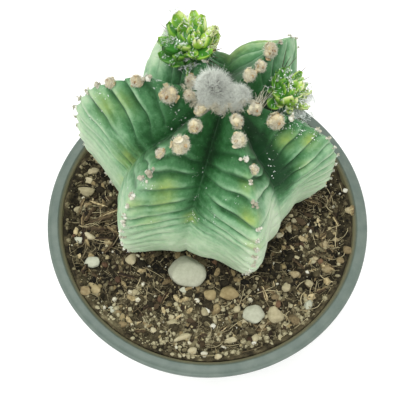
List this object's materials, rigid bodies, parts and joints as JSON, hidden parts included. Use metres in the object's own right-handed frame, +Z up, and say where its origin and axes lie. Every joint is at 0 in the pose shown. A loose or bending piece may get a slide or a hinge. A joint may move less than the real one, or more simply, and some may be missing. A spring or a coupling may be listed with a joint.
{
  "type": "potted bishops cap cactus",
  "caption": "Bishop's cap cactus with broad ribs, a woolly crown with dried flowers and leafy offsets, growing in stony soil in a round tapered nursery pot.",
  "frame": {"origin": "centre of the pot's underside, on the surface that the pot stands on", "axes": "+Z up, -Y towards the side the picture was taken from, +X to that viewer's right"},
  "size_m": [0.14, 0.14, 0.1731],
  "materials": {
    "pot_plastic": "matte",
    "potting_soil": "matte",
    "cactus_skin": "satin",
    "offset_skin": "satin",
    "cactus_wool": "matte",
    "dried_petal": "matte",
    "stone_white": "matte",
    "stone_cream": "matte",
    "stone_tan": "matte"
  },
  "bodies": {
    "root": {"pot": "pot_plastic", "soil": "potting_soil", "cactus_stem": "cactus_skin", "offset_left": "offset_skin", "offset_right": "offset_skin", "crown_wool": "cactus_wool", "dry_flower_01": "dried_petal", "dry_flower_02": "dried_petal", "dry_flower_03": "dried_petal", "dry_flower_04": "dried_petal", "dry_flower_05": "dried_petal", "dry_flower_06": "dried_petal", "dry_flower_07": "dried_petal", "dry_flower_08": "dried_petal", "dry_flower_09": "dried_petal", "dry_flower_10": "dried_petal", "dry_flower_11": "dried_petal", "dry_flower_12": "dried_petal", "dry_flower_13": "dried_petal", "dry_flower_14": "dried_petal", "dry_flower_15": "dried_petal", "dry_flower_16": "dried_petal", "dry_flower_17": "dried_petal", "stone_01": "stone_white", "stone_02": "stone_cream", "stone_03": "stone_white", "stone_04": "stone_cream", "stone_05": "stone_cream", "stone_06": "stone_cream", "stone_07": "stone_cream", "stone_08": "stone_cream", "stone_09": "stone_white", "stone_10": "stone_cream", "stone_11": "stone_tan", "stone_12": "stone_white", "stone_13": "stone_tan", "stone_14": "stone_cream", "stone_15": "stone_cream", "stone_16": "stone_cream", "stone_17": "stone_white", "stone_18": "stone_tan", "stone_19": "stone_tan", "stone_20": "stone_cream", "stone_21": "stone_tan", "stone_22": "stone_cream", "stone_23": "stone_white", "stone_24": "stone_cream", "stone_25": "stone_tan", "stone_26": "stone_cream", "stone_27": "stone_white", "stone_28": "stone_cream", "stone_29": "stone_cream", "stone_30": "stone_cream", "stone_31": "stone_cream", "stone_32": "stone_cream", "stone_33": "stone_cream"}
  },
  "joints": []
}
